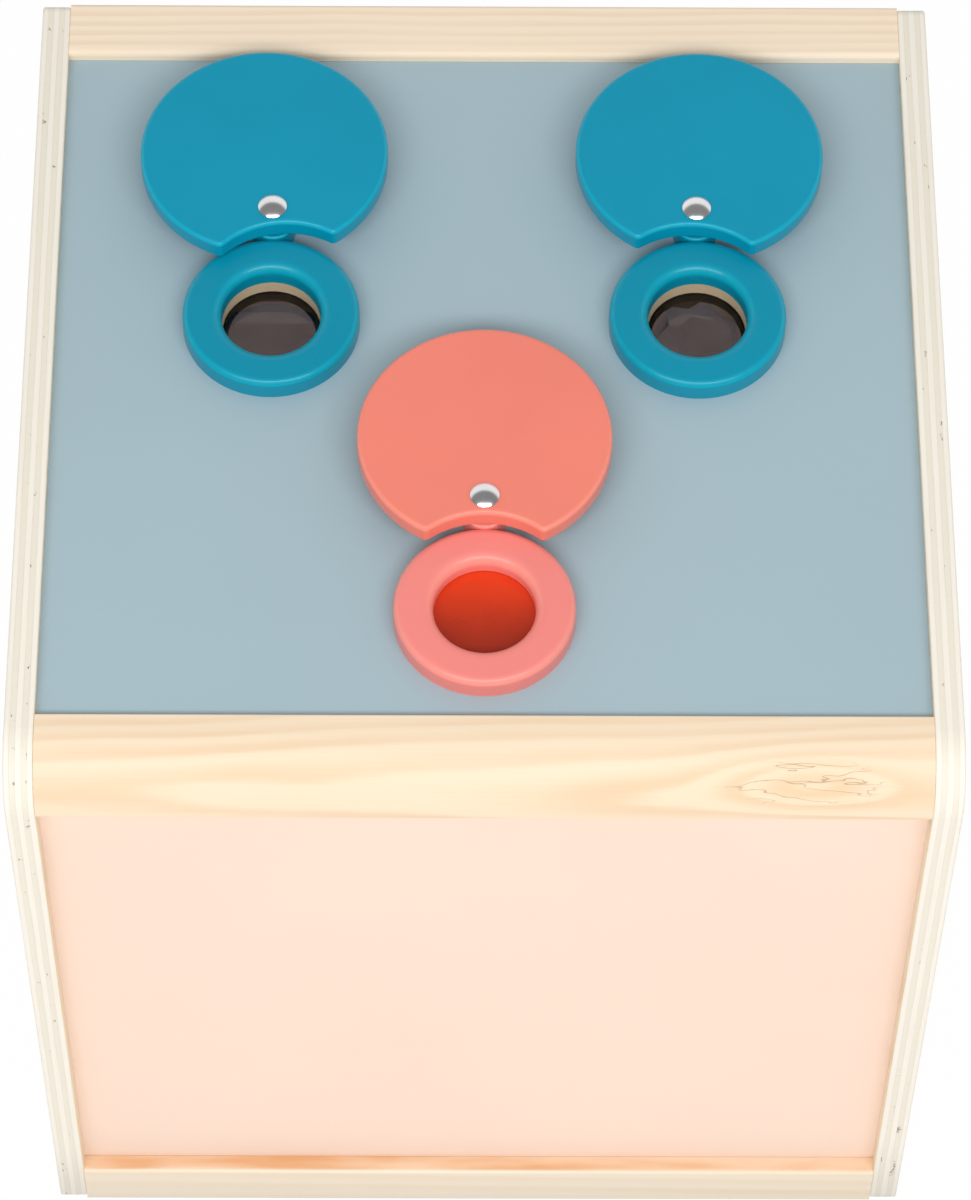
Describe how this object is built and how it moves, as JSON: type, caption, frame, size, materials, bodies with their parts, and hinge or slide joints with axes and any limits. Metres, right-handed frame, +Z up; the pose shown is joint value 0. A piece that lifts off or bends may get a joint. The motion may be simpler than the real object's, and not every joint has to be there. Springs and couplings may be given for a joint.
{
  "type": "kaleidoscope peep box",
  "caption": "Wooden peep box with round eyepieces under turning lids; faceted lenses and a colour filter look down into a case with a window in the back.",
  "frame": {"origin": "on the ground, under the middle of the case", "axes": "+Z up, -Y towards the front panel, +X to the right seen from the front"},
  "size_m": [0.3, 0.304, 0.32],
  "materials": {
    "side_plywood": "clear matt lacquer on birch plywood, layers showing on the edges",
    "pine": "clear satin lacquer on pine",
    "floor_plywood": "raw plywood",
    "beech": "raw, glued in",
    "top_paint": "satin blue-grey paint on board",
    "front_paint": "satin pale peach paint on board",
    "back_paint": "satin pale peach paint on board",
    "blue_paint": "satin petrol blue paint on fibreboard",
    "coral_paint": "satin coral paint on fibreboard",
    "plated_steel": "bright nickel plate",
    "zinc_steel": "zinc plate",
    "nylon": "natural nylon",
    "orange_filter": "clear orange acrylic",
    "clear_lens": "polished clear acrylic, faceted",
    "black_plastic": "moulded, fine texture"
  },
  "bodies": {
    "case": {"left_side_panel": "side_plywood", "right_side_panel": "side_plywood", "front_top_rail": "pine", "back_top_rail": "pine", "front_bottom_rail": "pine", "back_bottom_rail": "pine", "top_panel": "top_paint", "front_panel": "front_paint", "back_panel": "back_paint", "floor_panel": "floor_plywood", "rail_dowels": "beech", "left_eye_ring": "blue_paint", "right_eye_ring": "blue_paint", "front_eye_ring": "coral_paint", "left_pivot_pin": "plated_steel", "right_pivot_pin": "plated_steel", "front_pivot_pin": "plated_steel", "cover_washers": "nylon", "nut_washers": "zinc_steel", "pivot_nuts": "zinc_steel", "eyepiece_screws": "zinc_steel", "front_filter": "orange_filter", "left_lens": "clear_lens", "right_lens": "clear_lens", "left_lens_holder": "black_plastic", "right_lens_holder": "black_plastic", "lens_clips": "black_plastic"},
    "left_lid": {"left_cover": "blue_paint"},
    "right_lid": {"right_cover": "blue_paint"},
    "front_lid": {"front_cover": "coral_paint"}
  },
  "joints": [
    {"name": "left_cover_turn", "type": "hinge", "parent": "case", "child": "left_lid", "pos_m": [-0.0698, 0.0589, 0.3106], "axis": [0, 0, 1], "continuous": true},
    {"name": "right_cover_turn", "type": "hinge", "parent": "case", "child": "right_lid", "pos_m": [0.0698, 0.0589, 0.3106], "axis": [0, 0, 1], "continuous": true},
    {"name": "front_cover_turn", "type": "hinge", "parent": "case", "child": "front_lid", "pos_m": [0, -0.0531, 0.3106], "axis": [0, 0, 1], "continuous": true}
  ]
}
